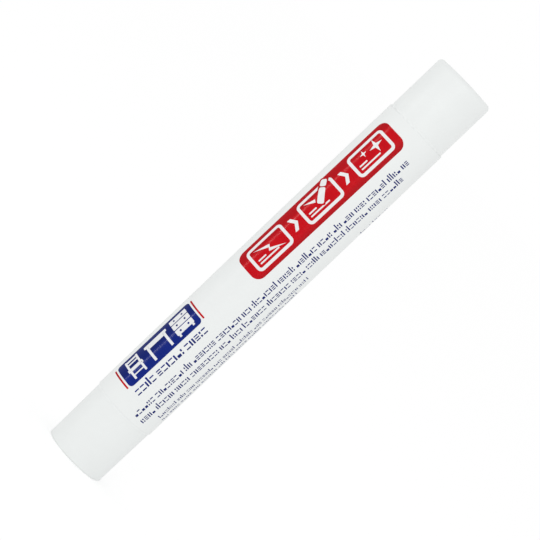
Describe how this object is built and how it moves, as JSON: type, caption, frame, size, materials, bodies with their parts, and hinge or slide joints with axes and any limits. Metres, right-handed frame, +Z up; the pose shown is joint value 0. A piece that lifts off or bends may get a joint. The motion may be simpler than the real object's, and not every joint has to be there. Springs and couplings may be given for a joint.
{
  "type": "furniture repair wax stick",
  "caption": "Hand-held twist-up wax stick for filling furniture scratches: slim round labelled barrel, turning knob at the foot, screw-fed wax and a pull-off cap.",
  "frame": {"origin": "centre of the knob's foot, on the surface that the stick stands on", "axes": "+Z up the barrel from the knob to the cap; -Y is the side that the print faces"},
  "size_m": [0.0152, 0.0152, 0.1132],
  "materials": {
    "white_plastic": "satin moulded white polypropylene",
    "inner_plastic": "natural moulded polypropylene",
    "wax": "dull brown filler wax",
    "label_film": "printed white film, glossy"
  },
  "bodies": {
    "barrel": {"barrel": "white_plastic", "label": "label_film"},
    "knob": {"base_knob": "white_plastic", "lead_screw": "inner_plastic"},
    "carrier": {"carrier": "inner_plastic", "wax_stick": "wax"},
    "cap": {"cap": "white_plastic"}
  },
  "joints": [
    {"name": "cap_pull", "type": "slide", "parent": "barrel", "child": "cap", "axis": [0, 0, 1], "range_m": [0, 0.03]},
    {"name": "knob_twist", "type": "hinge", "parent": "barrel", "child": "knob", "pos_m": [0, 0, 0], "axis": [0, 0, 1], "range_deg": [0, 672]},
    {"name": "wax_feed", "type": "slide", "parent": "barrel", "child": "carrier", "axis": [0, 0, 1], "range_m": [0, 0.0084]}
  ],
  "couplings": [
    {"joint": "knob_twist", "follows": "wax_feed", "rad_per_m": 1396.3}
  ]
}
